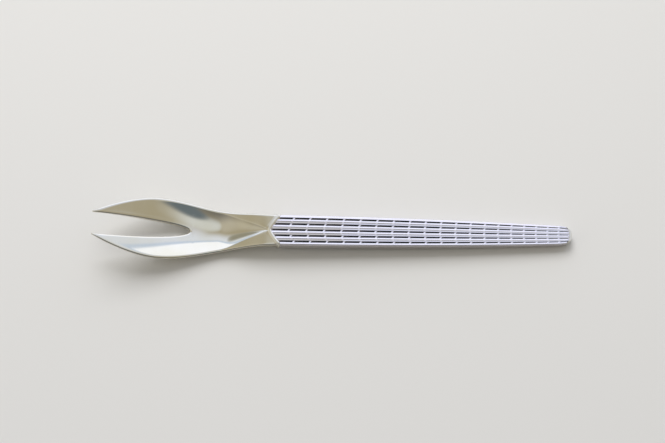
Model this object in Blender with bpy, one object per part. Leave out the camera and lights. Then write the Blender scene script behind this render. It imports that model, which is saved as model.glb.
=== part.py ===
"""Cold meat fork with a forged two-tined head and a hollow handle struck in two halves.

The model is drawn in a frame along the handle: X runs from the tines to the butt and is 0 at the
apex of the mouth collar, Y runs across, and Z is up from the handle's axis. At the end the whole
fork is tilted so that its heel and its butt rest on the plane Z = 0.
"""

import math

import bmesh
import bpy
import numpy as np

# Sizes in metres, angles and shares without units

# Fit of one piece in another
CLEARANCE = 0.0002
CUT_MARGIN = 0.0020
WELD = 0.000001

# Head, seen from above: lengths from the tine tips unless the name says otherwise
HEAD_LENGTH = 0.0545
TIP_HALF_WIDTH = 0.00378
BOWL_HALF_WIDTH = 0.00978
BOWL_PLACE = 0.0200
TINE_FULLNESS = 1.7
NECK_HALF_WIDTH = 0.00475
WAIST_LENGTH = 0.0200
SLOT_LENGTH = 0.0300
SLOT_HALF_WIDTH = 0.00340

# Head, seen from the side
HEEL_PLACE = 0.0390
HEEL_DROP = 0.0031
HEEL_BEND = 0.0100
TINE_SLOPE = 0.266
TIP_THICKNESS = 0.0008
BOWL_THICKNESS = 0.0016
EDGE_THICKNESS = 0.0008
NECK_THICKNESS = 0.0030
NECK_EDGE_THICKNESS = 0.0021
NECK_STEP = 0.00035

# Hollow of the bowl, which runs out to a point on the neck: its depths are for a hollow as wide as the bowl
DISH_DEPTH = 0.00235
DISH_TIP_DEPTH = 0.0006
DISH_PLACE = 0.0440
RIM_WIDTH = 0.0004
HOLLOW_RUN = 0.0144
HOLLOW_CORNER = 0.0006
HOLLOW_END_GAP = 0.0004
HOLLOW_POINT_HALF_WIDTH = 0.0005
HOLLOW_FULLNESS = 0.75

# Tang, hidden in the handle
TANG_LENGTH = 0.0550
TANG_ROOT = 0.0015
TANG_HALF_WIDTH = 0.0019
TANG_TIP_HALF_WIDTH = 0.0011
TANG_HALF_THICKNESS = 0.00065
TANG_TIP_HALF_THICKNESS = 0.0005

# Handle
HANDLE_LENGTH = 0.0955
MOUTH_HALF_WIDTH = 0.00490
BUTT_HALF_WIDTH = 0.00292
HANDLE_TAPER = 2.1
MOUTH_HALF_THICKNESS = 0.0021
BUTT_HALF_THICKNESS = 0.0016
HANDLE_EDGE_RADIUS = 0.0007
SHELL_WALL = 0.00065
CAVITY_EDGE_RADIUS = 0.0003

# Mouth collar: a raised bead whose front follows a bow across the handle
MOUTH_BOW = 0.0033
MOUTH_BOW_POWER = 1.3
COLLAR_WIDTH = 0.0009
COLLAR_RISE = 0.00028

# Butt cap
CAP_LENGTH = 0.0011
SPIGOT_LENGTH = 0.0040
BUTT_CORNER_LENGTH = 0.0034
BUTT_CORNER_DEPTH = 0.0025
BUTT_EDGE_RADIUS = 0.0005

# Gouges struck in both faces of the handle
ROW_COUNT = 5
CELL_COUNT = 20
PATTERN_EDGE = 0.00025
PATTERN_END = 0.0004
GOUGE_DEPTH = 0.00040
GOUGE_FADE = 2.0
GOUGE_FILL = 0.60
CELL_LAND = 0.0004
GOUGE_HIP = 0.0008
GOUGE_KEEL = 0.00005
GOUGE_SKIRT = 0.00003
GOUGE_STACK = 0.0004

# Flats worn on the heel and the butt
WEAR = 0.00012

# Colours, linear
POLISHED_SILVER = (0.86, 0.83, 0.76)
SATIN_SILVER = (0.72, 0.71, 0.74)
PITCH_CEMENT = (0.05, 0.035, 0.025)

# Facets
HEAD_STATIONS = 56
HOLLOW_POINTS = 13
UNDERSIDE_POINTS = 15
HANDLE_STATIONS = 20
BUTT_STATIONS = 6
CORNER_POINTS = 4
BOW_POINTS = 17
BEAD_SLICES = 6
CAP_SLICES = 9
SLOT_POINTS = 72
SEARCH_STEPS = 400
SHARP_ANGLE = math.radians(32.0)


# Scene

for old in list(bpy.data.objects):
    bpy.data.objects.remove(old)
fork = bpy.data.collections.new("cold_meat_fork")
cutters = bpy.data.collections.new("cutters")
cutters.hide_render = True
for collection in (fork, cutters):
    bpy.context.scene.collection.children.link(collection)


# Shared operations

def smooth(share):
    """A soft step from 0 to 1."""
    share = min(max(share, 0.0), 1.0)
    return share * share * (3.0 - 2.0 * share)


def blend(start, end, share):
    return start + (end - start) * share


def add_piece(name, mesh, collection):
    """An object of a mesh whose faces are turned outward; a cutter is drawn as wire."""
    shape = bmesh.new()
    shape.from_mesh(mesh)
    bmesh.ops.remove_doubles(shape, verts=shape.verts, dist=WELD)
    bmesh.ops.recalc_face_normals(shape, faces=shape.faces)
    shape.to_mesh(mesh)
    shape.free()
    mesh.shade_smooth()
    mesh.set_sharp_from_angle(angle=SHARP_ANGLE)
    item = bpy.data.objects.new(name, mesh)
    collection.objects.link(item)
    if collection == cutters:
        item.display_type = "WIRE"
        item.hide_render = True
    return item


def take_primitive(name, collection):
    """Turns the primitive that was just added into a named piece, with its size applied."""
    added = bpy.context.active_object
    bpy.ops.object.transform_apply(location=True, rotation=True, scale=True)
    mesh = added.data
    bpy.data.objects.remove(added)
    return add_piece(name, mesh, collection)


def side_faces(rings, size, first=0):
    """Quads between neighbouring rings of points."""
    faces = []
    for station in range(rings - 1):
        start = first + station * size
        for corner in range(size):
            after = (corner + 1) % size
            faces.append((start + corner, start + after, start + size + after, start + size + corner))
    return faces


def loft_mesh(name, bodies):
    """Closed solids in one mesh, each through rings that all have the same number of points."""
    points = []
    faces = []
    for rings in bodies:
        size = len(rings[0])
        first = len(points)
        points += [tuple(float(value) for value in point) for ring in rings for point in ring]
        faces += side_faces(len(rings), size, first)
        faces.append(tuple(range(first, first + size)))
        faces.append(tuple(range(len(points) - size, len(points))))
    mesh = bpy.data.meshes.new(name)
    mesh.from_pydata(points, [], faces)
    return mesh


def loft(name, rings, collection):
    return add_piece(name, loft_mesh(name, [rings]), collection)


def outline_block(name, outline):
    """An upright cutter with a flat outline: a filled 2D curve extruded up and down."""
    curve = bpy.data.curves.new(name, "CURVE")
    curve.dimensions = "2D"
    curve.fill_mode = "BOTH"
    curve.extrude = HEAD_LENGTH
    spline = curve.splines.new("POLY")
    spline.points.add(len(outline) - 1)
    spline.use_cyclic_u = True
    for point, (along, across) in zip(spline.points, outline):
        point.co = (along, across, 0.0, 1.0)
    drawing = bpy.data.objects.new(name, curve)
    cutters.objects.link(drawing)
    ready = bpy.context.evaluated_depsgraph_get()
    mesh = bpy.data.meshes.new_from_object(drawing.evaluated_get(ready))
    bpy.data.objects.remove(drawing)
    return add_piece(name, mesh, cutters)


def finish(item, name, colour, metallic, roughness):
    """A plain material for one piece, shared by pieces of the same metal."""
    material = bpy.data.materials.get(name)
    if material is None:
        material = bpy.data.materials.new(name)
        material.use_nodes = True
        surface = material.node_tree.nodes["Principled BSDF"]
        surface.inputs["Base Color"].default_value = (*colour, 1.0)
        surface.inputs["Metallic"].default_value = metallic
        surface.inputs["Roughness"].default_value = roughness
    item.data.materials.append(material)


def boolean(item, other, operation="DIFFERENCE"):
    step = item.modifiers.new(other.name, "BOOLEAN")
    step.operation = operation
    step.solver = "EXACT"
    step.object = other


def upper_corner_outline(half_width, half_thickness, radius):
    """Rounded upper half of a bar's section, from +Y over the top to -Y."""
    radius = min(radius, half_width, half_thickness)
    turn = np.linspace(0.0, math.pi / 2.0, CORNER_POINTS)
    right = [
        (half_width - radius + radius * math.cos(angle), half_thickness - radius + radius * math.sin(angle))
        for angle in turn
    ]
    left = [(-across, height) for across, height in reversed(right)]
    return right + left


def bar_ring(along, half_width, half_thickness, radius):
    """Whole rounded section of a bar."""
    upper = upper_corner_outline(half_width, half_thickness, radius)
    lower = [(across, -height) for across, height in reversed(upper)]
    return [(along, across, height) for across, height in upper + lower]


# Head

def head_half_width(place):
    """Outline of the head: leaf-shaped bowl drawn in to a straight neck."""
    if place < BOWL_PLACE:
        fall = (1.0 - place / BOWL_PLACE) ** TINE_FULLNESS
        return blend(BOWL_HALF_WIDTH, TIP_HALF_WIDTH, fall)
    draw_in = math.exp(-((place - BOWL_PLACE) / WAIST_LENGTH) ** 2)
    return blend(NECK_HALF_WIDTH, BOWL_HALF_WIDTH, draw_in)


def neck_share(place):
    return smooth((place - HEEL_PLACE) / (HEAD_LENGTH - HEEL_PLACE))


def rim_height(place):
    """Side view of the rim: straight tines, bent at the heel, then the rise of the neck."""
    lowest = MOUTH_HALF_THICKNESS - NECK_STEP - HEEL_DROP
    if place < HEEL_PLACE:
        reach = math.hypot(HEEL_PLACE - place, HEEL_BEND) - HEEL_BEND
        return lowest + TINE_SLOPE * reach
    return lowest + HEEL_DROP * neck_share(place)


def hollow_share(place):
    """1 in the bowl, falling to 0 where the hollow runs out on the neck."""
    end = HEAD_LENGTH - HOLLOW_END_GAP
    return min(max((end - place) / HOLLOW_RUN, 0.0), 1.0) ** HOLLOW_FULLNESS


def hollow_half_width(place):
    """Beside the rim in the bowl, then drawn in to the point, with a soft corner between the two."""
    widest = head_half_width(place) - RIM_WIDTH
    drawn_in = head_half_width(place) * hollow_share(place)
    corner = math.hypot(widest - drawn_in, HOLLOW_CORNER)
    return max(HOLLOW_POINT_HALF_WIDTH, (widest + drawn_in - corner) / 2.0)


def hollow_depth(place):
    """Slight at the tips, full from the heel on, and shallower in step where the hollow is narrower."""
    narrower = hollow_half_width(place) / BOWL_HALF_WIDTH
    return narrower * blend(DISH_TIP_DEPTH, DISH_DEPTH, smooth(place / DISH_PLACE))


def centre_thickness(place):
    bowl = blend(TIP_THICKNESS, BOWL_THICKNESS, smooth(place / BOWL_PLACE))
    return blend(bowl, NECK_THICKNESS, neck_share(place))


def edge_thickness(place):
    return blend(EDGE_THICKNESS, NECK_EDGE_THICKNESS, neck_share(place))


def underside(place):
    """Height of the lowest point of the head's section."""
    return rim_height(place) - hollow_depth(place) - centre_thickness(place)


def head_ring(place):
    """Section of the head: rim, hollow, rim, and a full round underside."""
    half_width = head_half_width(place)
    rim = rim_height(place)
    hollow = hollow_half_width(place)
    depth = hollow_depth(place)
    top = [(half_width, rim)]
    for across in np.linspace(hollow, -hollow, HOLLOW_POINTS):
        top.append((across, rim - depth * (1.0 - (across / hollow) ** 2)))
    top.append((-half_width, rim))
    edge = rim - edge_thickness(place)
    belly = edge - underside(place)
    below = []
    for angle in np.linspace(-math.pi / 2.0, math.pi / 2.0, UNDERSIDE_POINTS):
        below.append((half_width * math.sin(angle), edge - belly * math.cos(angle)))
    return [(place - HEAD_LENGTH, across, height) for across, height in top + below]


def mouth_bow(across):
    """How far the mouth lies behind its apex at a distance from the middle."""
    return MOUTH_BOW * (abs(across) / MOUTH_HALF_WIDTH) ** MOUTH_BOW_POWER


def mouth_cutter(name, offset, reach):
    """A block that ends along the mouth's bow, reaching back (+) or forward (-) from it."""
    widest = MOUTH_HALF_WIDTH + CUT_MARGIN
    bow = [(mouth_bow(across) + offset, across) for across in np.linspace(-widest, widest, BOW_POINTS * 2)]
    return outline_block(name, bow + [(reach, widest), (reach, -widest)])


def tang(name, growth, start, collection):
    """Tapered square tang on the handle's axis, grown by a fit for the holes that it goes through."""
    rings = []
    stations = (
        (start, TANG_HALF_WIDTH, TANG_HALF_THICKNESS),
        (TANG_LENGTH + growth, TANG_TIP_HALF_WIDTH, TANG_TIP_HALF_THICKNESS),
    )
    for along, half_width, half_thickness in stations:
        side = half_width + growth
        rise = half_thickness + growth
        corners = ((side, rise), (-side, rise), (-side, -rise), (side, -rise))
        rings.append([(along, across, height) for across, height in corners])
    return loft(name, rings, collection)


def tine_slot():
    """Upright elliptical cutter centred on the line of the tips."""
    bpy.ops.mesh.primitive_cylinder_add(vertices=SLOT_POINTS, radius=1.0, depth=1.0)
    bpy.context.active_object.scale = (SLOT_LENGTH, SLOT_HALF_WIDTH, 2.0 * HEAD_LENGTH)
    bpy.context.active_object.location.x = -HEAD_LENGTH
    return take_primitive("tine_slot", cutters)


head_stations = np.linspace(0.0, HEAD_LENGTH + MOUTH_BOW + CUT_MARGIN, HEAD_STATIONS)
fork_head = loft("fork_head", [head_ring(place) for place in head_stations], fork)
boolean(fork_head, tine_slot())
boolean(fork_head, mouth_cutter("neck_end", -CLEARANCE, HANDLE_LENGTH))
boolean(fork_head, tang("tang", 0.0, -TANG_ROOT, cutters), "UNION")
finish(fork_head, "polished_silver", POLISHED_SILVER, 1.0, 0.18)


# Handle outline, shared by the shells, the cap and the cement

def handle_half_width(along):
    """Straight at the mouth, tapering faster to the butt, with round corners at the end."""
    share = min(max(along / HANDLE_LENGTH, 0.0), 1.0)
    body = blend(MOUTH_HALF_WIDTH, BUTT_HALF_WIDTH, share ** HANDLE_TAPER)
    turn = min(max(1.0 - (HANDLE_LENGTH - along) / BUTT_CORNER_LENGTH, 0.0), 1.0)
    return body - BUTT_CORNER_DEPTH * (1.0 - math.sqrt(1.0 - turn * turn))


def handle_half_thickness(along):
    return blend(MOUTH_HALF_THICKNESS, BUTT_HALF_THICKNESS, along / HANDLE_LENGTH)


def cavity_ring(along, fit):
    """Section of the hollow inside the shells, shrunk by a fit for what goes in it."""
    half_width = handle_half_width(along) - SHELL_WALL - fit
    half_thickness = handle_half_thickness(along) - SHELL_WALL - fit
    return bar_ring(along, half_width, half_thickness, CAVITY_EDGE_RADIUS)


cap_joint = HANDLE_LENGTH - CAP_LENGTH
shell_end = cap_joint - CLEARANCE
shell_start = COLLAR_WIDTH + CLEARANCE


# Mouth collar: the bead closes the front of the hollow handle and the tang goes through it

def collar_half(along):
    """Upper half of the collar's section, with points across for the bow."""
    share = along / COLLAR_WIDTH
    rise = COLLAR_RISE * math.sin(math.pi * share)
    half_width = MOUTH_HALF_WIDTH + rise
    half_thickness = MOUTH_HALF_THICKNESS + rise
    outline = upper_corner_outline(half_width, half_thickness, HANDLE_EDGE_RADIUS)
    right, left = outline[:CORNER_POINTS], outline[CORNER_POINTS:]
    flat = np.linspace(right[-1][0], left[0][0], BOW_POINTS)[1:-1]
    upper = right + [(across, half_thickness) for across in flat] + left
    return [(along + mouth_bow(across), across, height) for across, height in upper]


def collar():
    """The bead, ringed round the handle, with upright strips across its bowed ends."""
    slices = [collar_half(along) for along in np.linspace(0.0, COLLAR_WIDTH, BEAD_SLICES)]
    points = []
    for upper in slices:
        points += upper + [(along, across, -height) for along, across, height in reversed(upper)]
    half = len(slices[0])
    faces = side_faces(BEAD_SLICES, 2 * half)
    for first in (0, len(points) - 2 * half):
        for corner in range(half - 1):
            below = 2 * half - 1 - corner
            faces.append((first + corner, first + corner + 1, first + below - 1, first + below))
    mesh = bpy.data.meshes.new("mouth_collar")
    mesh.from_pydata([tuple(float(value) for value in point) for point in points], [], faces)
    return add_piece("mouth_collar", mesh, fork)


tang_way = tang("tang_way", CLEARANCE, -CUT_MARGIN, cutters)
mouth_collar = collar()
boolean(mouth_collar, tang_way)
finish(mouth_collar, "polished_silver", POLISHED_SILVER, 1.0, 0.18)


# Shells: two struck halves that meet at the side seam, with the gouges struck in their faces

def shell_ring(along, face):
    """Channel section of one half, up (+1) or down (-1)."""
    outer = upper_corner_outline(handle_half_width(along), handle_half_thickness(along), HANDLE_EDGE_RADIUS)
    inner = upper_corner_outline(
        handle_half_width(along) - SHELL_WALL,
        handle_half_thickness(along) - SHELL_WALL,
        CAVITY_EDGE_RADIUS,
    )
    seam = CLEARANCE / 2.0
    section = [(outer[0][0], seam)] + outer + [(outer[-1][0], seam)]
    section += [(inner[-1][0], seam)] + inner[::-1] + [(inner[0][0], seam)]
    return [(along, across, face * height) for across, height in section]


def row_pitch(along):
    return 2.0 * (handle_half_width(along) - PATTERN_EDGE) / ROW_COUNT


def cell_ends(row):
    """Places of the cells' ends along one row: each cell is as long as the handle is wide there."""
    start = shell_start + PATTERN_END + mouth_bow(row * row_pitch(shell_start))
    fine = np.linspace(start, shell_end - PATTERN_END, SEARCH_STEPS)
    steps = np.cumsum([1.0 / row_pitch(along) for along in fine])
    return np.interp(np.linspace(steps[0], steps[-1], CELL_COUNT + 1), steps, fine)


def gouge(start, end, row, face):
    """Rings of a boat-shaped cutter: a keel at the full depth, sloping sides and hipped ends."""
    rings = []
    depth = GOUGE_DEPTH * (row_pitch(start) / row_pitch(shell_start)) ** GOUGE_FADE
    for hip, lift in ((GOUGE_HIP, -depth), (0.0, GOUGE_SKIRT), (0.0, GOUGE_STACK)):
        ring = []
        for along, side in ((start + hip, 1.0), (end - hip, 1.0), (end - hip, -1.0), (start + hip, -1.0)):
            reach = GOUGE_KEEL if hip else GOUGE_FILL / 2.0 * row_pitch(along)
            across = row * row_pitch(along) + side * reach
            ring.append((along, across, face * (handle_half_thickness(along) + lift)))
        rings.append(ring)
    return rings


def gouges(name, face):
    """All cutters of one face: rows across, cells along."""
    bodies = []
    for number in range(ROW_COUNT):
        row = number - (ROW_COUNT - 1) / 2.0
        ends = cell_ends(row)
        for start, end in zip(ends[:-1], ends[1:]):
            bodies.append(gouge(start + CELL_LAND / 2.0, end - CELL_LAND / 2.0, row, face))
    return add_piece(name, loft_mesh(name, bodies), cutters)


mouth_front = mouth_cutter("mouth_front", shell_start, -HEAD_LENGTH)
butt_corner = HANDLE_LENGTH - BUTT_CORNER_LENGTH
shell_stations = [
    *np.linspace(0.0, butt_corner, HANDLE_STATIONS)[:-1],
    *np.linspace(butt_corner, shell_end, BUTT_STATIONS),
]
handle_front_shell = loft("handle_front_shell", [shell_ring(x, 1.0) for x in shell_stations], fork)
handle_back_shell = loft("handle_back_shell", [shell_ring(x, -1.0) for x in shell_stations], fork)
boolean(handle_front_shell, mouth_front)
boolean(handle_back_shell, mouth_front)
boolean(handle_front_shell, gouges("front_gouges", 1.0))
boolean(handle_back_shell, gouges("back_gouges", -1.0))
finish(handle_front_shell, "satin_silver", SATIN_SILVER, 1.0, 0.32)
finish(handle_back_shell, "satin_silver", SATIN_SILVER, 1.0, 0.32)


# Butt cap: plain end with a spigot that plugs the shells

def cap_ring(along):
    """Outer section of the cap, its end edge rounded over."""
    turn = min(max(1.0 - (HANDLE_LENGTH - along) / BUTT_EDGE_RADIUS, 0.0), 1.0)
    drop = BUTT_EDGE_RADIUS * (1.0 - math.sqrt(1.0 - turn * turn))
    half_thickness = handle_half_thickness(along) - drop
    return bar_ring(along, handle_half_width(along), half_thickness, HANDLE_EDGE_RADIUS)


spigot_start = shell_end - SPIGOT_LENGTH
cap_rings = [cavity_ring(along, CLEARANCE) for along in (spigot_start, shell_end)]
cap_neck = cavity_ring(shell_end, CLEARANCE)
cap_rings.append([(cap_joint, across, height) for along, across, height in cap_neck])
cap_turn = np.sin(np.linspace(0.0, math.pi / 2.0, CAP_SLICES))
cap_rings += [cap_ring(along) for along in cap_joint + CAP_LENGTH * cap_turn]
butt_cap = loft("butt_cap", cap_rings, fork)
finish(butt_cap, "polished_silver", POLISHED_SILVER, 1.0, 0.18)


# Cement: fills the hollow round the tang

cement_end = spigot_start - CLEARANCE
cement_stations = np.linspace(0.0, cement_end, HANDLE_STATIONS)
handle_cement = loft("handle_cement", [cavity_ring(x, CLEARANCE) for x in cement_stations], fork)
boolean(handle_cement, mouth_front)
boolean(handle_cement, tang_way)
finish(handle_cement, "pitch_cement", PITCH_CEMENT, 0.0, 0.8)


# Rest: the line under the heel and the butt, with a small flat worn on each

butt_contact = HANDLE_LENGTH - BUTT_EDGE_RADIUS
butt_height = -handle_half_thickness(butt_contact)
slopes = [
    (butt_height - underside(place)) / (butt_contact - (place - HEAD_LENGTH))
    for place in np.linspace(BOWL_PLACE, HEAD_LENGTH, SEARCH_STEPS)
]
rest_slope = max(slopes)
rest_angle = math.atan(rest_slope)


def rest_height(along):
    return butt_height + rest_slope * (along - butt_contact) + WEAR / math.cos(rest_angle)


def table():
    """Block under the rest line, longer and wider than the fork."""
    deep = HEAD_LENGTH
    long = 2.0 * (HEAD_LENGTH + HANDLE_LENGTH)
    wide = 2.0 * (BOWL_HALF_WIDTH + CUT_MARGIN)
    bpy.ops.mesh.primitive_cube_add(size=1.0)
    block = bpy.context.active_object
    block.scale = (long, wide, deep)
    block.rotation_euler.y = -rest_angle
    block.location.z = rest_height(0.0) - deep / 2.0 / math.cos(rest_angle)
    return take_primitive("rest_table", cutters)


rest_table = table()
for item in (fork_head, handle_back_shell, butt_cap):
    boolean(item, rest_table)


# Pose: the fork lies on its heel and butt with its middle over the origin

def level(along, height):
    """A point of the side view after the fork is tilted to lie level."""
    turned_along = along * math.cos(rest_angle) + height * math.sin(rest_angle)
    turned_height = height * math.cos(rest_angle) - along * math.sin(rest_angle)
    return turned_along, turned_height


tip_along = min(level(x, z)[0] for x, y, z in head_ring(0.0) if abs(y) > SLOT_HALF_WIDTH)
butt_along = max(level(x, z)[0] for x, y, z in cap_rings[-1])
rest_along, rest_level = level(0.0, rest_height(0.0))
origin = bpy.data.objects.new("fork_origin", None)
fork.objects.link(origin)
origin.rotation_euler = (0.0, rest_angle, 0.0)
origin.location = (-(tip_along + butt_along) / 2.0, 0.0, -rest_level)
for item in list(fork.objects) + list(cutters.objects):
    if item != origin:
        item.parent = origin
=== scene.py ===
"""Looks of a cold meat fork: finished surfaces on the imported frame, with floor, light and camera.

The pieces are drawn in the fork's own frame, in metres. X runs from the tines to the butt and is 0
at the apex of the mouth collar, Y runs across, and Z is up from the handle's axis. Each finished
piece is then laid on its heel and its butt, where the frame holds it.
"""

import math

import bpy
import numpy as np
from mathutils import Matrix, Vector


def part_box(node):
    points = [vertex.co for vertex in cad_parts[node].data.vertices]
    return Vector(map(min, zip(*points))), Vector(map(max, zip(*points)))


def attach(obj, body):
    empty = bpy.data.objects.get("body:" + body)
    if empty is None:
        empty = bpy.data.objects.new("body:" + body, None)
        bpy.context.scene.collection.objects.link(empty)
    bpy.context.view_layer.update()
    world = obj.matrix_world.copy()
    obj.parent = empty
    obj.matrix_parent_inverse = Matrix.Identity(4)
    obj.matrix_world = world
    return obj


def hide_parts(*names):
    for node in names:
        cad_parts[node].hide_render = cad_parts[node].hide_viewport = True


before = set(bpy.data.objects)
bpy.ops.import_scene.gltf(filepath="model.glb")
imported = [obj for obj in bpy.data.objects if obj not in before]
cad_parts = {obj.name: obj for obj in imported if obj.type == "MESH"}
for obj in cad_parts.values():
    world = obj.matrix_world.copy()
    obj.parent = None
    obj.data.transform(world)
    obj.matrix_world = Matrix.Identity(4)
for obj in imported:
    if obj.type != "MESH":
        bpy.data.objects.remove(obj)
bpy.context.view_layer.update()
bpy.ops.object.select_all(action="DESELECT")


# Forged head
# One forging of sterling silver: a leaf-shaped bowl, cut by a long slot into two tines, with a
# hollow that runs out to a point on the neck. Its edges are eased with a file and the whole is
# buffed bright. The tang, hidden in the handle, isn't drawn here.

HEAD_LENGTH = 0.0545
TIP_HALF_WIDTH = 0.00378
BOWL_HALF_WIDTH = 0.00978
BOWL_PLACE = 0.0200
TINE_FULLNESS = 1.7
NECK_HALF_WIDTH = 0.00475
WAIST_LENGTH = 0.0200
SLOT_LENGTH = 0.0300
SLOT_HALF_WIDTH = 0.00340

HEEL_PLACE = 0.0390
HEEL_DROP = 0.0031
HEEL_BEND = 0.0100
TINE_SLOPE = 0.266
TIP_THICKNESS = 0.0008
BOWL_THICKNESS = 0.0016
EDGE_THICKNESS = 0.0008
NECK_THICKNESS = 0.0030
NECK_EDGE_THICKNESS = 0.0021
NECK_STEP = 0.00035

DISH_DEPTH = 0.00235
DISH_TIP_DEPTH = 0.0006
DISH_PLACE = 0.0440
DISH_RIM_WIDTH = 0.0004
HOLLOW_RUN = 0.0144
HOLLOW_CORNER = 0.0006
HOLLOW_END_GAP = 0.0004
HOLLOW_POINT_HALF_WIDTH = 0.0005
HOLLOW_FULLNESS = 0.75
CREST_SOFTNESS = 0.00004

RIM_ROUND_WIDTH = 0.00060
RIM_ROUND_DEPTH = 0.00036
RIM_LAND = 0.00008
SLOT_ROUND_WIDTH = 0.00065
SLOT_ROUND_DEPTH = 0.00034
UNDER_ROUND_DEPTH = 0.00018
TIP_ROUND_LENGTH = 0.00040
TIP_ROUND_DEPTH = 0.00030
EDGE_SHARE_OF_TINE = 0.35
LAND_SHARE_OF_TINE = 0.05

MOUTH_HALF_WIDTH = 0.00490
MOUTH_HALF_THICKNESS = 0.0021
MOUTH_BOW = 0.0033
MOUTH_BOW_POWER = 1.3
HEAD_SOLDER_GAP = 0.00006
FILLET_LENGTH = 0.0012
FILLET_RISE = 0.00014
BOW_START = 0.0440

TINE_ROWS = 72
BODY_ROWS = 60
SLOT_COLUMNS = 7
HOLLOW_COLUMNS = 22
FACET_COLUMNS = 7
RIM_COLUMNS = 8
CREST_CROWDING = 1.5
MOUTH_CROWDING = 1.7
BOW_PASSES = 6
WALL_CUTS = 2
MERGE_DISTANCE = 0.000001


def smooth(share):
    share = min(max(share, 0.0), 1.0)
    return share * share * (3.0 - 2.0 * share)


def blend(start, end, share):
    return start + (end - start) * share


def head_half_width(place):
    """Outline from above: leaf-shaped bowl drawn in to a straight neck."""
    if place < BOWL_PLACE:
        fall = (1.0 - place / BOWL_PLACE) ** TINE_FULLNESS
        return blend(BOWL_HALF_WIDTH, TIP_HALF_WIDTH, fall)
    draw_in = math.exp(-((place - BOWL_PLACE) / WAIST_LENGTH) ** 2)
    return blend(NECK_HALF_WIDTH, BOWL_HALF_WIDTH, draw_in)


def slot_half_width(place):
    return SLOT_HALF_WIDTH * math.sqrt(max(0.0, 1.0 - (place / SLOT_LENGTH) ** 2))


def metal_width(place):
    """Width of the metal on one side of the middle: a tine, or half of the bowl."""
    return head_half_width(place) - slot_half_width(min(place, SLOT_LENGTH))


def neck_share(place):
    return smooth((place - HEEL_PLACE) / (HEAD_LENGTH - HEEL_PLACE))


def rim_height(place):
    """Side view of the rim: straight tines, bent at the heel, then the rise of the neck."""
    lowest = MOUTH_HALF_THICKNESS - NECK_STEP - HEEL_DROP
    if place < HEEL_PLACE:
        reach = math.hypot(HEEL_PLACE - place, HEEL_BEND) - HEEL_BEND
        return lowest + TINE_SLOPE * reach
    return lowest + HEEL_DROP * neck_share(place)


def hollow_half_width(place, rim_width=DISH_RIM_WIDTH, corner=HOLLOW_CORNER):
    """Half width of the hollow: beside the rim in the bowl, then drawn in to a point."""
    end = HEAD_LENGTH - HOLLOW_END_GAP
    share = min(max((end - place) / HOLLOW_RUN, 0.0), 1.0) ** HOLLOW_FULLNESS
    widest = head_half_width(place) - rim_width
    drawn_in = head_half_width(place) * share
    narrower = (widest + drawn_in - math.hypot(widest - drawn_in, corner)) / 2.0
    return max(HOLLOW_POINT_HALF_WIDTH, narrower)


def hollow_depth(place):
    """Slight at the tips, full from the heel on, and less where the hollow is narrower."""
    narrower = hollow_half_width(place) / BOWL_HALF_WIDTH
    return narrower * blend(DISH_TIP_DEPTH, DISH_DEPTH, smooth(place / DISH_PLACE))


def rim_round_width(place):
    return min(RIM_ROUND_WIDTH, EDGE_SHARE_OF_TINE * metal_width(place))


def slot_round_width(place):
    return min(SLOT_ROUND_WIDTH, EDGE_SHARE_OF_TINE * metal_width(place))


def crest_half_width(place):
    """Half width between the crests of the hollow, which leaves room for the eased rim."""
    land = min(RIM_LAND, LAND_SHARE_OF_TINE * metal_width(place))
    rim_width = rim_round_width(place) + land
    return hollow_half_width(place, rim_width, min(HOLLOW_CORNER, rim_width))


def centre_thickness(place):
    bowl = blend(TIP_THICKNESS, BOWL_THICKNESS, smooth(place / BOWL_PLACE))
    return blend(bowl, NECK_THICKNESS, neck_share(place))


def underside(place):
    """Height of the lowest point of the section."""
    return rim_height(place) - hollow_depth(place) - centre_thickness(place)


def eased_edge(inset, width, depth):
    """Drop of a rounded edge at a distance in from it."""
    lean = min(max(1.0 - inset / width, 0.0), 1.0)
    return depth * (1.0 - math.sqrt(1.0 - lean * lean))


def mouth_bow(across):
    """How far the mouth lies behind its apex at a distance from the middle."""
    return MOUTH_BOW * (abs(across) / MOUTH_HALF_WIDTH) ** MOUTH_BOW_POWER


def upper_height(place, across, slot_inset):
    """Upper face: a soft-crested hollow, flat facets, a fillet at the mouth and eased edges."""
    bowl = hollow_depth(place) * (1.0 - (across / crest_half_width(place)) ** 2)
    sunk = (bowl + math.hypot(bowl, CREST_SOFTNESS)) / 2.0
    drop = max(
        eased_edge(head_half_width(place) - across, rim_round_width(place), RIM_ROUND_DEPTH),
        eased_edge(slot_inset, slot_round_width(place), SLOT_ROUND_DEPTH),
        eased_edge(place, TIP_ROUND_LENGTH, TIP_ROUND_DEPTH),
    )
    near = min(max(1.0 - (HEAD_LENGTH + mouth_bow(across) - place) / FILLET_LENGTH, 0.0), 1.0)
    return rim_height(place) - sunk - drop + FILLET_RISE * near * near


def under_height(place, across, slot_inset):
    """Lower face: a full round belly, with an eased edge along the slot."""
    edge = rim_height(place) - blend(EDGE_THICKNESS, NECK_EDGE_THICKNESS, neck_share(place))
    belly = edge - underside(place)
    share = min(across / head_half_width(place), 1.0)
    lift = max(
        eased_edge(slot_inset, slot_round_width(place), UNDER_ROUND_DEPTH),
        eased_edge(place, TIP_ROUND_LENGTH, UNDER_ROUND_DEPTH),
    )
    return edge - belly * math.sqrt(1.0 - share * share) + lift


def column_across(place, start, column):
    """Distance from the middle of a column: over the hollow, a facet, then the eased rim."""
    crest = crest_half_width(place)
    side = head_half_width(place)
    shoulder = side - rim_round_width(place)
    if column <= HOLLOW_COLUMNS:
        share = 1.0 - (1.0 - column / HOLLOW_COLUMNS) ** CREST_CROWDING
        return blend(start, crest, share)
    column -= HOLLOW_COLUMNS
    if column <= FACET_COLUMNS:
        return blend(crest, shoulder, column / FACET_COLUMNS)
    turn = (column - FACET_COLUMNS) / RIM_COLUMNS * math.pi / 2.0
    return blend(shoulder, side, math.sin(turn))


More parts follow.
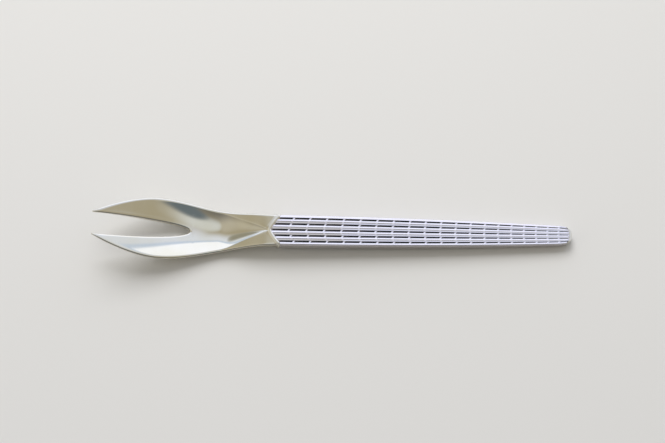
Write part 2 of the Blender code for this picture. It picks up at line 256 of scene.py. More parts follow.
def tine_point(row, column, height):
    """A point beside the slot: first square to the slot's edge, then straight across the tine."""
    turn = smooth(row / (TINE_ROWS - 1)) * math.pi / 2.0
    place = SLOT_LENGTH * math.sin(turn)
    across = SLOT_HALF_WIDTH * math.cos(turn)
    lean = (math.sin(turn) / SLOT_LENGTH, math.cos(turn) / SLOT_HALF_WIDTH)
    width = slot_round_width(place)
    swing = min(column / SLOT_COLUMNS, 1.0) * math.pi / 2.0
    inset = width * (1.0 - math.cos(swing))
    place += inset * lean[0] / math.hypot(*lean)
    across += inset * lean[1] / math.hypot(*lean)
    if column > SLOT_COLUMNS:
        across = column_across(place, across, column - SLOT_COLUMNS)
        inset = width
    if row == TINE_ROWS - 1 and column <= SLOT_COLUMNS:
        across = 0.0
    return (place - HEAD_LENGTH, across, height(place, across, inset))


def body_point(row, column, height):
    """A point between the slot's end and the mouth, on lines that bow towards the mouth."""
    start = SLOT_LENGTH + slot_round_width(SLOT_LENGTH)
    end = HEAD_LENGTH - HEAD_SOLDER_GAP
    level = blend(start, end, 1.0 - (1.0 - row / (BODY_ROWS - 1)) ** MOUTH_CROWDING)
    ramp = smooth((level - BOW_START) / (end - BOW_START))
    place = level
    for step in range(BOW_PASSES):
        across = column_across(place, 0.0, column)
        place = level + mouth_bow(across) * ramp
    return (place - HEAD_LENGTH, across, height(place, across, SLOT_ROUND_WIDTH))


def shaped_grid(rows, columns, point):
    """A grid primitive with each of its points moved to its place on the piece."""
    bpy.ops.mesh.primitive_grid_add(x_subdivisions=columns - 1, y_subdivisions=rows - 1, size=1.0)
    grid = bpy.context.active_object
    for corner in grid.data.vertices:
        corner.co = point(*divmod(corner.index, columns))
    return grid


def joined(parts, name):
    """One or more meshes as one named object."""
    bpy.ops.object.select_all(action="DESELECT")
    for part in parts:
        part.select_set(True)
    bpy.context.view_layer.objects.active = parts[0]
    if len(parts) > 1:
        bpy.ops.object.join()
    parts[0].name = name
    parts[0].data.name = name
    return parts[0]


def turn_outward(mesh):
    """Turns a closed mesh's faces over if they look inward, which makes its volume negative."""
    mesh.calc_loop_triangles()
    corners = np.array([corner.co for corner in mesh.vertices])
    triangles = np.array([corners[list(face.vertices)] for face in mesh.loop_triangles])
    if np.linalg.det(triangles).sum() < 0.0:
        mesh.flip_normals()


def close_sheets(piece, cuts):
    """Welds sheets along their seams, walls up the open edges and turns the faces outward."""
    bpy.context.view_layer.objects.active = piece
    bpy.ops.object.mode_set(mode="EDIT")
    bpy.ops.mesh.select_all(action="SELECT")
    bpy.ops.mesh.remove_doubles(threshold=MERGE_DISTANCE)
    bpy.ops.mesh.select_all(action="DESELECT")
    bpy.ops.mesh.select_mode(type="EDGE")
    bpy.ops.mesh.select_non_manifold(
        use_wire=False, use_multi_face=False, use_non_contiguous=False, use_verts=False
    )
    bpy.ops.mesh.bridge_edge_loops(number_cuts=cuts)
    bpy.ops.mesh.select_all(action="SELECT")
    bpy.ops.mesh.normals_make_consistent(inside=False)
    bpy.ops.object.mode_set(mode="OBJECT")
    turn_outward(piece.data)


sheets = []
across_columns = HOLLOW_COLUMNS + FACET_COLUMNS + RIM_COLUMNS + 1
for face_height in (upper_height, under_height):
    sheets.append(shaped_grid(
        TINE_ROWS, SLOT_COLUMNS + across_columns,
        lambda row, column: tine_point(row, column, face_height),
    ))
    sheets.append(shaped_grid(
        BODY_ROWS, across_columns, lambda row, column: body_point(row, column, face_height)
    ))
forged_head = joined(sheets, "forged_head")
half = forged_head.modifiers.new("other_half", "MIRROR")
half.use_axis = (False, True, False)
half.merge_threshold = MERGE_DISTANCE
bpy.ops.object.modifier_apply(modifier=half.name)
close_sheets(forged_head, WALL_CUTS)

# How the fork lies: on its heel and its butt, tilted a little, with a small flat worn on each

HANDLE_LENGTH = 0.0955
BUTT_HALF_THICKNESS = 0.0016
BUTT_EDGE_RADIUS = 0.0005
WEAR = 0.00012
REST_SAMPLES = 400
SHARP_ANGLE = math.radians(40.0)


def handle_half_thickness(along):
    return blend(MOUTH_HALF_THICKNESS, BUTT_HALF_THICKNESS, along / HANDLE_LENGTH)


butt_contact = HANDLE_LENGTH - BUTT_EDGE_RADIUS
butt_height = -handle_half_thickness(butt_contact)
rest_slope = max(
    (butt_height - underside(place)) / (butt_contact + HEAD_LENGTH - place)
    for place in np.linspace(BOWL_PLACE, HEAD_LENGTH, REST_SAMPLES)
)
rest_angle = math.atan(rest_slope)
rest_height = butt_height - rest_slope * butt_contact + WEAR / math.cos(rest_angle)
tip_height = rim_height(0.0) - TIP_THICKNESS
tip_along = -HEAD_LENGTH * math.cos(rest_angle) + tip_height * math.sin(rest_angle)
rest_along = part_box("fork_head")[0].x - tip_along


def lay(piece):
    """Lays a finished piece where the frame holds it, worn flat where it would pass the table."""
    bpy.ops.object.select_all(action="DESELECT")
    piece.select_set(True)
    bpy.context.view_layer.objects.active = piece
    bpy.ops.object.shade_smooth_by_angle(angle=SHARP_ANGLE)
    piece.rotation_euler.y = rest_angle
    piece.location = (rest_along, 0.0, -rest_height * math.cos(rest_angle))
    bpy.ops.object.transform_apply(location=True, rotation=True, scale=True)
    for corner in piece.data.vertices:
        corner.co.z = max(corner.co.z, 0.0)


lay(forged_head)


def linear(colour):
    """An sRGB hex colour as linear light."""
    shares = [int(colour[start:start + 2], 16) / 255.0 for start in (1, 3, 5)]
    return tuple(
        share / 12.92 if share <= 0.04045 else ((share + 0.055) / 1.055) ** 2.4 for share in shares
    ) + (1.0,)


def add_node(tree, kind, inputs=None, **settings):
    """A node with its settings, and its inputs set to values or linked to other nodes' outputs."""
    node = tree.nodes.new(kind)
    for name, value in settings.items():
        setattr(node, name, value)
    for name, value in (inputs or {}).items():
        if isinstance(value, bpy.types.NodeSocket):
            tree.links.new(value, node.inputs[name])
        else:
            node.inputs[name].default_value = value
    return node


def new_material(name):
    """A material with an empty node tree, and that tree."""
    material = bpy.data.materials.new(name)
    material.use_nodes = True
    material.node_tree.nodes.clear()
    return material, material.node_tree


# Sockets of a colour mix: its share, its two colours and its result

MIX_SHARE = 0
MIX_FIRST = 6
MIX_SECOND = 7
MIX_RESULT = 2

# Sterling silver buffed on a wheel: a warm bright mirror, softened by fine hair scratches that run
# along the fork and by a faint yellow bloom where it has begun to tarnish. The scratches are drawn
# wider than real ones so that they show.

SILVER_BRIGHT = "#E9E6DC"
SILVER_BLOOM = "#E3DECC"
SILVER_ROUGHNESS = (0.05, 0.10)
SCRATCH_LENGTH = 0.0090
SCRATCH_WIDTH = 0.00030
SCRATCH_DEPTH = 0.00002
SCRATCH_RANGE = (0.3, 0.7)
BLOOM_SIZE = 0.0110
BLOOM_RANGE = (0.35, 0.7)

polished_silver, tree = new_material("polished_sterling_silver")
surface_place = add_node(tree, "ShaderNodeTexCoord").outputs["Object"]
along_fork = add_node(tree, "ShaderNodeMapping", {
    "Vector": surface_place,
    "Scale": (1.0 / SCRATCH_LENGTH, 1.0 / SCRATCH_WIDTH, 1.0 / SCRATCH_WIDTH),
}).outputs["Vector"]
scratches = add_node(tree, "ShaderNodeTexNoise", {
    "Vector": along_fork, "Scale": 1.0, "Detail": 3.0,
}).outputs["Fac"]
bloom = add_node(tree, "ShaderNodeTexNoise", {
    "Vector": surface_place, "Scale": 1.0 / BLOOM_SIZE, "Detail": 2.0,
}).outputs["Fac"]
bloom_share = add_node(tree, "ShaderNodeMapRange", {
    "Value": bloom, "From Min": BLOOM_RANGE[0], "From Max": BLOOM_RANGE[1],
}).outputs["Result"]
silver_tint = add_node(tree, "ShaderNodeMix", {
    MIX_SHARE: bloom_share, MIX_FIRST: linear(SILVER_BRIGHT), MIX_SECOND: linear(SILVER_BLOOM),
}, data_type="RGBA").outputs[MIX_RESULT]
silver_roughness = add_node(tree, "ShaderNodeMapRange", {
    "Value": scratches, "From Min": SCRATCH_RANGE[0], "From Max": SCRATCH_RANGE[1],
    "To Min": SILVER_ROUGHNESS[0], "To Max": SILVER_ROUGHNESS[1],
}).outputs["Result"]
scratch_relief = add_node(tree, "ShaderNodeBump", {
    "Height": scratches, "Strength": 0.05, "Distance": SCRATCH_DEPTH,
}).outputs["Normal"]
silver_surface = add_node(tree, "ShaderNodeBsdfPrincipled", {
    "Base Color": silver_tint, "Metallic": 1.0,
    "Roughness": silver_roughness, "Normal": scratch_relief,
})
add_node(tree, "ShaderNodeOutputMaterial", {"Surface": silver_surface.outputs["BSDF"]})

forged_head.data.materials.append(polished_silver)
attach(forged_head, "root")
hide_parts("fork_head")


# Mouth collar
# A round bead of sterling silver wire, bent to a bow across each face of the handle's mouth and
# soldered over the joint between the head and the struck handle, round a plate in the mouth.

COLLAR_WIDTH = 0.0009
BEAD_RISE = 0.00016
BEAD_RADIUS = 0.00058
BEAD_CORNER_RADIUS = 0.00025
BEAD_SIDES = 6
PLATE_OVERLAP = 0.00008
FACE_POINTS = 48
CORNER_POINTS = 7


def rounded_section(half_width, half_thickness, radius):
    """Points round the section of a flat bar with rounded corners."""
    points = []
    for quarter in range(4):
        side = 1.0 if quarter in (0, 3) else -1.0
        face = 1.0 if quarter < 2 else -1.0
        for turn in np.linspace(quarter, quarter + 1.0, CORNER_POINTS) * math.pi / 2.0:
            points.append((
                side * (half_width - radius) + radius * math.cos(turn),
                face * (half_thickness - radius) + radius * math.sin(turn),
            ))
        if quarter in (0, 2):
            flat = np.linspace(side, -side, FACE_POINTS)[1:-1]
            points += [(share * (half_width - radius), face * half_thickness) for share in flat]
    return points


bpy.ops.curve.primitive_bezier_circle_add(radius=MOUTH_HALF_WIDTH)
collar_bead = bpy.context.active_object
collar_bead.name = "collar_bead"
wire = collar_bead.data
wire.splines.clear()
route = wire.splines.new("POLY")
bead_sunk = BEAD_RADIUS - BEAD_RISE
stations = rounded_section(
    MOUTH_HALF_WIDTH - bead_sunk, MOUTH_HALF_THICKNESS - bead_sunk, BEAD_CORNER_RADIUS
)
route.points.add(len(stations) - 1)
route.use_cyclic_u = True
for point, (across, height) in zip(route.points, stations):
    point.co = (mouth_bow(across) + COLLAR_WIDTH / 2.0, across, height, 1.0)
wire.bevel_depth = BEAD_RADIUS
wire.bevel_resolution = BEAD_SIDES
bpy.ops.object.convert(target="MESH")


def plate_point(row, column, offset):
    """A point of the plate inside the bead, which closes the mouth round the neck."""
    across = blend(-1.0, 1.0, row / (FACE_POINTS - 1)) * (MOUTH_HALF_WIDTH - bead_sunk)
    height = (2.0 * column - 1.0) * (MOUTH_HALF_THICKNESS - bead_sunk)
    return (mouth_bow(across) + offset, across, height)


plate_sheets = [
    shaped_grid(FACE_POINTS, 2, lambda row, column: plate_point(row, column, offset))
    for offset in (-PLATE_OVERLAP, COLLAR_WIDTH)
]
plate = joined(plate_sheets, "plate")
close_sheets(plate, 0)
collar_bead = joined([collar_bead, plate], "collar_bead")
lay(collar_bead)

# The same silver, only lightly buffed after soldering, so it is softer than the head. Its colour is
# set whiter than the head's as a painted sheen, for the bright light that the bead catches.

# Whiter than the head's silver: a painted sheen on the bead
BEAD_WHITE = "#F4F2EC"
BEAD_ROUGHNESS = (0.32, 0.40)

bead_silver = polished_silver.copy()
bead_silver.name = "lightly_buffed_silver"
bead_nodes = bead_silver.node_tree.nodes
bead_nodes[silver_tint.node.name].inputs[MIX_FIRST].default_value = linear(BEAD_WHITE)
bead_nodes[silver_roughness.node.name].inputs["To Min"].default_value = BEAD_ROUGHNESS[0]
bead_nodes[silver_roughness.node.name].inputs["To Max"].default_value = BEAD_ROUGHNESS[1]
collar_bead.data.materials.clear()
collar_bead.data.materials.append(bead_silver)
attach(collar_bead, "root")
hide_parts("mouth_collar")


# Handle shells
# Two channels of thin sterling silver sheet, each struck in a die that gives it five rows of gouges
# and then soldered together along the side seam. A gouge has a steep side and a gentle one, and low
# bridges part it from the next in its row. The lands between the rows grow slightly hollow away
# from the mouth, and the one along the far edge leans outward and levels out at the cap.

BUTT_HALF_WIDTH = 0.00292
HANDLE_TAPER = 2.1
BUTT_CORNER_LENGTH = 0.0034
BUTT_CORNER_DEPTH = 0.0025
CAP_LENGTH = 0.0008
CAP_BOW = 0.0009
CAP_BOW_POWER = 3.0
SHEET_THICKNESS = 0.00045
SHEET_BEND_RADIUS = 0.00002
SEAM_HALF_GAP = 0.00002
SOLDER_GAP = 0.00002

ROW_COUNT = 5
CELL_COUNT = 20
PATTERN_EDGE = 0.00025
PATTERN_START = 0.00012
PATTERN_END = 0.00015
PATTERN_BOW_FADE = 0.5
CELL_LAND = 0.00046
CELL_SLANT = 0.6
START_HIP = 0.00018
END_HIP = 0.00014
GOUGE_DEPTH = 0.00028
GOUGE_FADE = 1.2
BOTTOM_SHIFT = 0.18
BRIDGE_SINK = 0.00028
LAND_SINK = 0.00008
LAND_SINK_RUN = 0.030
LEAST_SHOULDER = 0.0002
LEAST_STEP = 0.00001
SHOULDER_SHARE = 0.95
SHOULDER_COLUMNS = 7
EDGE_LEAN = math.radians(16.0)
EDGE_LEAN_FADE = 0.0030

# Lines of one row, from its +Y edge: place in row pitches, share of the depth, share of patina and
# painted shade

GOUGE_LINES = (
    (0.160, 0.0, 0.0),
    (0.140, 0.08, 0.6),
    (-0.140, 1.0, 1.0),
    (-0.180, 1.0, 0.1),
    (-0.410, 0.06, 0.0),
    (-0.430, 0.0, 0.0),
)

# Lines of the land below that row: place in row pitches, share of patina and painted shade; here it
# paints a grey line of shade along the land's dip

LAND_LINES = ((-0.560, 0.65), (-0.600, 0.0))
LAND_RANK_DROP = 0.5
GOUGE_TOP = GOUGE_LINES[0][0]
GOUGE_FOOT = GOUGE_LINES[-1][0]
PITCH_SAMPLES = 400

# Lines across one cell: where its gouge starts, where it is full from and to, and where it ends

LINES_PER_CELL = 4
FULL_LINES = (2, 3)

shell_start = COLLAR_WIDTH
outer_rank = (ROW_COUNT - 1) / 2.0 - GOUGE_FOOT
free_rank = (ROW_COUNT - 2) / 2.0


def body_half_width(along):
    """Straight at the mouth, tapering faster to the butt."""
    share = min(max(along / HANDLE_LENGTH, 0.0), 1.0)
    return blend(MOUTH_HALF_WIDTH, BUTT_HALF_WIDTH, share ** HANDLE_TAPER)


def handle_half_width(along):
    """The body with the round corners of its end."""
    turn = min(max(1.0 - (HANDLE_LENGTH - along) / BUTT_CORNER_LENGTH, 0.0), 1.0)
    return body_half_width(along) - BUTT_CORNER_DEPTH * (1.0 - math.sqrt(1.0 - turn * turn))


def row_pitch(along):
    return 2.0 * (body_half_width(along) - PATTERN_EDGE) / ROW_COUNT


def row_across(rank, along):
    """Distance of a line from the middle, with the outer rows pressed in at the round corners."""
    pitch = row_pitch(along)
    free = min(abs(rank), free_rank) * pitch
    room = handle_half_width(along) - LEAST_SHOULDER - free_rank * pitch
    pressed = min(1.0, room / ((outer_rank - free_rank) * pitch))
    return math.copysign(free + max(abs(rank) - free_rank, 0.0) * pitch * pressed, rank)


def shoulder_radius(along):
    """Round of the handle's long edges, which starts beside the outer row of gouges."""
    return SHOULDER_SHARE * (handle_half_width(along) - row_across(outer_rank, along))


cap_half_width = handle_half_width(HANDLE_LENGTH - CAP_LENGTH - CAP_BOW)


def cap_joint(across):
    """Where the cap starts: a bow that keeps to the round end."""
    side_share = min(abs(across) / cap_half_width, 1.0)
    return HANDLE_LENGTH - CAP_LENGTH - CAP_BOW * side_share ** CAP_BOW_POWER


# Ends of the cells along the middle: each cell is as many row pitches long as the next

fine = np.linspace(shell_start + PATTERN_START, cap_joint(0.0) - PATTERN_END, PITCH_SAMPLES)
steps = np.cumsum([1.0 / row_pitch(along) for along in fine])
middle_ends = np.interp(np.linspace(steps[0], steps[-1], CELL_COUNT + 1), steps, fine)


def pattern_places(rank, row_rank):
    """Places along one line: the mouth, four for each cell of its row, and the shell's end."""
    mouth = shell_start + mouth_bow(rank * row_pitch(shell_start))
    end = cap_joint(rank * row_pitch(HANDLE_LENGTH)) - SOLDER_GAP
    bow = mouth_bow(row_rank * row_pitch(shell_start))
    ends = []
    for number, middle in enumerate(middle_ends):
        slant = CELL_SLANT * (rank - row_rank) * row_pitch(middle)
        ends.append(middle + bow / (1.0 + PATTERN_BOW_FADE * number) + slant)
    places = []
    for first, last in zip(ends[:-1], ends[1:]):
        first += CELL_LAND / 2.0
        last -= CELL_LAND / 2.0
        places += [first, first + START_HIP, last - END_HIP, last]
    count = len(places)
    for number in range(count):
        places[number] = max(places[number], mouth + LEAST_STEP * (number + 1))
        places[number] = min(places[number], end - LEAST_STEP * (count - number))
    return [mouth, *places, end]


# Lines along the shell from the seam on the +Y side: rank in rows from the middle, depth, patina
# and painted shade, and the rank that the cells bow and slant about

seam_lines = SHOULDER_COLUMNS + 1
ranks = np.linspace((ROW_COUNT - 1) / 2.0, (1 - ROW_COUNT) / 2.0, ROW_COUNT)
lines = [(outer_rank, 0.0, 0.0, ranks[0])] * seam_lines
for rank in ranks:
    lines += [(rank + place, depth, patina, rank) for place, depth, patina in GOUGE_LINES]
    lines += [(rank + place, None, patina, rank - LAND_RANK_DROP) for place, patina in LAND_LINES]
lines[-len(LAND_LINES):] = [(-outer_rank, 0.0, 0.0, ranks[-1])] * seam_lines
places = [pattern_places(rank, row_rank) for rank, depth, patina, row_rank in lines]
shell_rows = LINES_PER_CELL * CELL_COUNT + 2


def struck_depth(row, column):
    """Depth of a point below the plain face: in a gouge, on a bridge, or on a land between rows."""
    rank, depth, patina, row_rank = lines[column]
    along = places[column][row]
    fade = (row_pitch(along) / row_pitch(shell_start)) ** GOUGE_FADE
    if row in (0, shell_rows - 1):
        return 0.0
    if depth is None:
        return LAND_SINK * fade * smooth(along / LAND_SINK_RUN)
    if row % LINES_PER_CELL in FULL_LINES:
        return GOUGE_DEPTH * depth * fade
    if depth == 0.0:
        return 0.0
    lean = (rank - row_rank - GOUGE_FOOT) / (GOUGE_TOP - GOUGE_FOOT)
    return BRIDGE_SINK * lean * fade


def shell_point(row, column, wall):
    """A point of the upper shell: on its struck face or, a wall's thickness in, on its inside."""
    along = places[column][row]
    rank, depth, patina, row_rank = lines[column]
    side = handle_half_width(along) - wall
    top = handle_half_thickness(along) - wall
    radius = max(shoulder_radius(along) - wall, SHEET_BEND_RADIUS)
    step = min(column, len(lines) - 1 - column)
    if step >= seam_lines:
        across = rank / outer_rank * (side - radius)
        if not wall:
            narrower = 1.0 - row_pitch(along) / row_pitch(shell_start)
            across = row_across(rank + BOTTOM_SHIFT * narrower * (depth or 0.0), along)
            top -= struck_depth(row, column)
        return (along, across, top)
    top_turn = math.pi / 2.0
    if rank > 0.0 and not wall:
        lean = EDGE_LEAN * min((cap_joint(side) - along) / EDGE_LEAN_FADE, 1.0)
        top_turn -= lean
        shoulder = side - radius * (1.0 - math.cos(top_turn))
        fall = math.tan(lean) * (shoulder - row_across(ranks[0] + GOUGE_TOP, along))
        top += radius * (1.0 - math.sin(top_turn)) - fall
    turn = max(step - 1, 0) / (seam_lines - 2) * top_turn
    across = math.copysign(side - radius * (1.0 - math.cos(turn)), rank)
    height = top - radius * (1.0 - math.sin(turn))
    return (along, across, SEAM_HALF_GAP if step == 0 else height)


struck_face = shaped_grid(shell_rows, len(lines), lambda row, column: shell_point(row, column, 0.0))
# Mask of patina and painted shade: real patina in the gouges, plus painted shade heaviest on their
# steep sides and along each land's dip
recess = struck_face.data.attributes.new("recess", "FLOAT", "POINT")
for point in range(len(recess.data)):
    row, column = divmod(point, len(lines))
    fade = row_pitch(places[column][row]) / row_pitch(shell_start)
    in_gouge = row % LINES_PER_CELL in FULL_LINES
    recess.data[point].value = lines[column][2] * fade if in_gouge else 0.0
inside = shaped_grid(
    shell_rows, len(lines), lambda row, column: shell_point(row, column, SHEET_THICKNESS)
)
front_shell = joined([struck_face, inside], "front_shell")
close_sheets(front_shell, 0)

back_shell = front_shell.copy()
back_shell.data = front_shell.data.copy()
back_shell.name = "back_shell"
bpy.context.collection.objects.link(back_shell)
for corner in back_shell.data.vertices:
    corner.co.z = -corner.co.z
back_shell.data.flip_normals()

# Satin sterling silver: struck, pickled and lightly brushed, so it is cooler and softer than the
# buffed head. Dark patina sits in the gouges, and painted shade is added to it: heaviest on their
# steep sides, which turn away from the window, and along a line on each land's dip.

SATIN_SILVER = "#EAE6EA"
SATIN_SHADE = "#E2DEE3"
SATIN_ROUGHNESS = (0.14, 0.22)
PATINA = "#36343E"
PATINA_RANGE = (0.1, 0.75)
PATINA_MOST = 0.9
BRUSH_LENGTH = 0.0060
BRUSH_WIDTH = 0.00025
BRUSH_DEPTH = 0.00002
BRUSH_RANGE = (0.3, 0.7)
SHADE_SIZE = 0.0060

satin_silver, tree = new_material("satin_sterling_silver")
surface_place = add_node(tree, "ShaderNodeTexCoord").outputs["Object"]
along_handle = add_node(tree, "ShaderNodeMapping", {
    "Vector": surface_place,
    "Scale": (1.0 / BRUSH_LENGTH, 1.0 / BRUSH_WIDTH, 1.0 / BRUSH_WIDTH),
}).outputs["Vector"]
brushing = add_node(tree, "ShaderNodeTexNoise", {
    "Vector": along_handle, "Scale": 1.0, "Detail": 3.0,
}).outputs["Fac"]
shade = add_node(tree, "ShaderNodeTexNoise", {
    "Vector": surface_place, "Scale": 1.0 / SHADE_SIZE, "Detail": 2.0,
}).outputs["Fac"]
satin_tint = add_node(tree, "ShaderNodeMix", {
    MIX_SHARE: shade, MIX_FIRST: linear(SATIN_SILVER), MIX_SECOND: linear(SATIN_SHADE),
}, data_type="RGBA").outputs[MIX_RESULT]
recess_depth = add_node(tree, "ShaderNodeAttribute", attribute_name="recess").outputs["Fac"]
# Darkens the satin where the mask is set, with patina and painted shade
patina_share = add_node(tree, "ShaderNodeMapRange", {
    "Value": recess_depth, "From Min": PATINA_RANGE[0], "From Max": PATINA_RANGE[1],
    "To Min": 0.0, "To Max": PATINA_MOST,
}).outputs["Result"]
satin_colour = add_node(tree, "ShaderNodeMix", {
    MIX_SHARE: patina_share, MIX_FIRST: satin_tint, MIX_SECOND: linear(PATINA),
}, data_type="RGBA").outputs[MIX_RESULT]
satin_roughness = add_node(tree, "ShaderNodeMapRange", {
    "Value": brushing, "From Min": BRUSH_RANGE[0], "From Max": BRUSH_RANGE[1],
    "To Min": SATIN_ROUGHNESS[0], "To Max": SATIN_ROUGHNESS[1],
}).outputs["Result"]
brush_relief = add_node(tree, "ShaderNodeBump", {
    "Height": brushing, "Strength": 0.04, "Distance": BRUSH_DEPTH,
}).outputs["Normal"]
satin_surface = add_node(tree, "ShaderNodeBsdfPrincipled", {
    "Base Color": satin_colour, "Metallic": 1.0,
    "Roughness": satin_roughness, "Normal": brush_relief,
})
add_node(tree, "ShaderNodeOutputMaterial", {"Surface": satin_surface.outputs["BSDF"]})

for shell, node in ((front_shell, "handle_front_shell"), (back_shell, "handle_back_shell")):
    lay(shell)
    shell.data.materials.clear()
    shell.data.materials.append(satin_silver)
    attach(shell, "root")
    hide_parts(node)


# Butt cap
# A plain plug of sterling silver that closes the hollow handle. It is soldered in, filed flush
# with the shells and buffed, so it shows as a narrow warm band with round corners.

CAP_ROWS = 18
CAP_PASSES = 8

cap_side = cap_joint(cap_half_width)
cap_half_thickness = handle_half_thickness(cap_side)
cap_ring = rounded_section(cap_half_width, cap_half_thickness, shoulder_radius(cap_side))


def cap_point(row, column):
    """A point of the cap: lines from the bowed joint to the rounded end, drawn shut at both."""
    across, height = cap_ring[column % len(cap_ring)]
    side_share = across / cap_half_width
    below_top = cap_half_thickness - abs(height)
    for step in range(CAP_PASSES):
        across = side_share * handle_half_width(cap_joint(across))
    share = min(max(row - 1, 0) / (CAP_ROWS - 3), 1.0)
    along = blend(cap_joint(across), HANDLE_LENGTH, math.sin(share * math.pi / 2.0))
    drop = eased_edge(HANDLE_LENGTH - along, BUTT_EDGE_RADIUS, BUTT_EDGE_RADIUS)
    rise = max(handle_half_thickness(along) - drop - below_top, 0.0)
    if row in (0, CAP_ROWS - 1):
        rise = 0.0
    return (along, side_share * handle_half_width(along), math.copysign(rise, height))


end_cap = joined([shaped_grid(CAP_ROWS, len(cap_ring) + 1, cap_point)], "end_cap")
bpy.ops.object.mode_set(mode="EDIT")
bpy.ops.mesh.select_all(action="SELECT")
bpy.ops.mesh.remove_doubles(threshold=MERGE_DISTANCE)
bpy.ops.mesh.normals_make_consistent(inside=False)
bpy.ops.object.mode_set(mode="OBJECT")
lay(end_cap)
end_cap.data.materials.append(polished_silver)
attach(end_cap, "root")
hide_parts("butt_cap")


# Handle cement
# Pitch and brick dust, poured hot round the tang. It sets dull and dark with a coarse grain, and
# nothing of it shows once the collar and the cap are on.

PITCH_DARK = "#3A3028"
PITCH_DUST = "#5C4A3C"
PITCH_GRAIN = 0.0008
PITCH_DEPTH = 0.0001

pitch, tree = new_material("pitch_cement")
surface_place = add_node(tree, "ShaderNodeTexCoord").outputs["Object"]
grain = add_node(tree, "ShaderNodeTexNoise", {
    "Vector": surface_place, "Scale": 1.0 / PITCH_GRAIN, "Detail": 4.0,
}).outputs["Fac"]
pitch_colour = add_node(tree, "ShaderNodeMix", {
    MIX_SHARE: grain, MIX_FIRST: linear(PITCH_DARK), MIX_SECOND: linear(PITCH_DUST),
}, data_type="RGBA").outputs[MIX_RESULT]
pitch_relief = add_node(tree, "ShaderNodeBump", {
    "Height": grain, "Strength": 0.4, "Distance": PITCH_DEPTH,
}).outputs["Normal"]
pitch_surface = add_node(tree, "ShaderNodeBsdfPrincipled", {
    "Base Color": pitch_colour, "Roughness": 0.85, "Normal": pitch_relief,
})
add_node(tree, "ShaderNodeOutputMaterial", {"Surface": pitch_surface.outputs["BSDF"]})
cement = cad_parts["handle_cement"]
cement.data.materials.clear()
cement.data.materials.append(pitch)


# Floor
# A plain pale matt table top, so large that no view shows its edge.

FLOOR_RADIUS = 6.0
FLOOR_SIDES = 64
FLOOR_COLOUR = "#DEDCD8"
FLOOR_GRAIN = 0.0004
FLOOR_ROUGHNESS = (0.85, 0.95)

bpy.ops.mesh.primitive_circle_add(vertices=FLOOR_SIDES, radius=FLOOR_RADIUS, fill_type="NGON")
floor = bpy.context.active_object
floor.name = "floor"
matt_board, tree = new_material("matt_board")
surface_place = add_node(tree, "ShaderNodeTexCoord").outputs["Object"]
board_grain = add_node(tree, "ShaderNodeTexNoise", {
    "Vector": surface_place, "Scale": 1.0 / FLOOR_GRAIN,
}).outputs["Fac"]
board_roughness = add_node(tree, "ShaderNodeMapRange", {
    "Value": board_grain, "To Min": FLOOR_ROUGHNESS[0], "To Max": FLOOR_ROUGHNESS[1],
}).outputs["Result"]
board_surface = add_node(tree, "ShaderNodeBsdfPrincipled", {
    "Base Color": linear(FLOOR_COLOUR), "Roughness": board_roughness, "Specular IOR Level": 0.0,
})
add_node(tree, "ShaderNodeOutputMaterial", {"Surface": board_surface.outputs["BSDF"]})
floor.data.materials.append(matt_board)


# Light
# A soft warm studio room with three pale cards above the fork. Its ceiling brightens towards a
# large cool window on the far side, with a bluer frame round the window. Two dim cards in front
# and one beyond the tips give the polished metal its dark lines, and a last pale card stands low
# beyond the tips.

# Each card: the way to its middle, the angles where it is full and where it ends, and its tone

ROOM_TONE = ("#EFE6CC", 0.52)
ROOM_CARDS = (
    ((-0.45, -0.15, 0.88), 8.0, 30.0, ("#F0EADA", 0.64)),
    ((0.10, -0.06, 0.993), 8.0, 22.0, ("#EEF2F4", 0.84)),
    ((0.36, 0.33, 0.873), 5.0, 18.0, ("#EEF0FA", 0.80)),
    ((0.22, 0.975, 0.00), 56.0, 80.0, ("#E8EFFF", 1.02)),
    ((0.22, 0.975, 0.00), 52.0, 54.5, ("#D2E2FF", 1.00)),
    ((0.22, 0.975, 0.00), 48.5, 51.0, ("#EBF0FF", 1.42)),
    ((0.00, -0.93, 0.37), 14.0, 65.0, ("#F0F0F4", 0.16)),
    ((0.22, -0.35, 0.911), 4.0, 13.5, ("#D0E4F4", 0.25)),
    ((-0.63, 0.56, 0.54), 2.0, 14.0, ("#EEECDC", 0.41)),
    ((-1.00, 0.00, 0.20), 14.0, 36.0, ("#F4F2EC", 1.00)),
)


def light_tone(colour, strength):
    return tuple(strength * value for value in linear(colour)[:3]) + (1.0,)


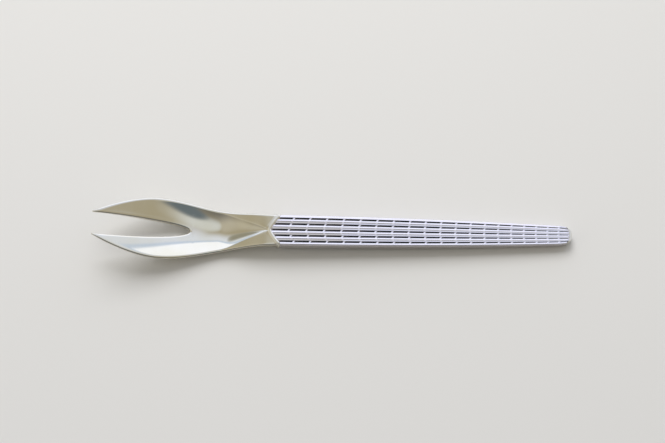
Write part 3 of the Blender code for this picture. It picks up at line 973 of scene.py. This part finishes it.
world = bpy.data.worlds.new("studio_room")
bpy.context.scene.world = world
world.use_nodes = True
tree = world.node_tree
tree.nodes.clear()
direction = add_node(tree, "ShaderNodeTexCoord").outputs["Generated"]
room = light_tone(*ROOM_TONE)
for toward, full_angle, end_angle, tone in ROOM_CARDS:
    facing = add_node(tree, "ShaderNodeVectorMath", {
        0: direction, 1: toward,
    }, operation="DOT_PRODUCT")
    share = add_node(tree, "ShaderNodeMapRange", {
        "Value": facing.outputs["Value"],
        "From Min": math.cos(math.radians(end_angle)),
        "From Max": math.cos(math.radians(full_angle)),
    }, interpolation_type="SMOOTHSTEP").outputs["Result"]
    room = add_node(tree, "ShaderNodeMix", {
        MIX_SHARE: share, MIX_FIRST: room, MIX_SECOND: light_tone(*tone),
    }, data_type="RGBA").outputs[MIX_RESULT]
room_light = add_node(tree, "ShaderNodeBackground", {"Color": room})
add_node(tree, "ShaderNodeOutputWorld", {"Surface": room_light.outputs["Background"]})

KEY_PLACE = (-0.10, 0.55, 0.60)
KEY_SIZE = 0.5
KEY_POWER = 4.4

bpy.ops.object.light_add(type="AREA", location=KEY_PLACE)
key = bpy.context.active_object
key.name = "window_panel"
key.data.shape = "SQUARE"
key.data.size = KEY_SIZE
key.data.energy = KEY_POWER
key.visible_glossy = False
key.rotation_euler = (-key.location).to_track_quat("-Z", "Y").to_euler()


# Camera
# Straight across the fork and steeply from above, as the photograph was taken, turned slightly
# about its own axis.

CAMERA_DISTANCE = 0.550
CAMERA_ELEVATION = math.radians(74.57)
CAMERA_ROLL = math.radians(0.66)
FOCAL_PIXELS = 1740.2
IMAGE_WIDTH = 665
SENSOR_WIDTH = 36.0
NEAREST_SEEN = 0.01
ORIGIN_RIGHT = 1.04
ORIGIN_DOWN = 13.57

camera_back = CAMERA_DISTANCE * math.cos(CAMERA_ELEVATION)
camera_height = CAMERA_DISTANCE * math.sin(CAMERA_ELEVATION)
bpy.ops.object.camera_add(location=(0.0, -camera_back, camera_height))
camera = bpy.context.active_object
camera.data.sensor_width = SENSOR_WIDTH
camera.data.lens = SENSOR_WIDTH * FOCAL_PIXELS / IMAGE_WIDTH
camera.data.clip_start = NEAREST_SEEN
facing = Matrix.Rotation(math.pi / 2.0 - CAMERA_ELEVATION, 3, "X")
facing @= Matrix.Rotation(CAMERA_ROLL, 3, "Z")
facing @= Matrix.Rotation(math.atan(ORIGIN_DOWN / FOCAL_PIXELS), 3, "X")
facing @= Matrix.Rotation(math.atan(ORIGIN_RIGHT / FOCAL_PIXELS), 3, "Y")
camera.rotation_euler = facing.to_euler()
bpy.context.scene.camera = camera
bpy.context.scene.view_settings.view_transform = "Standard"
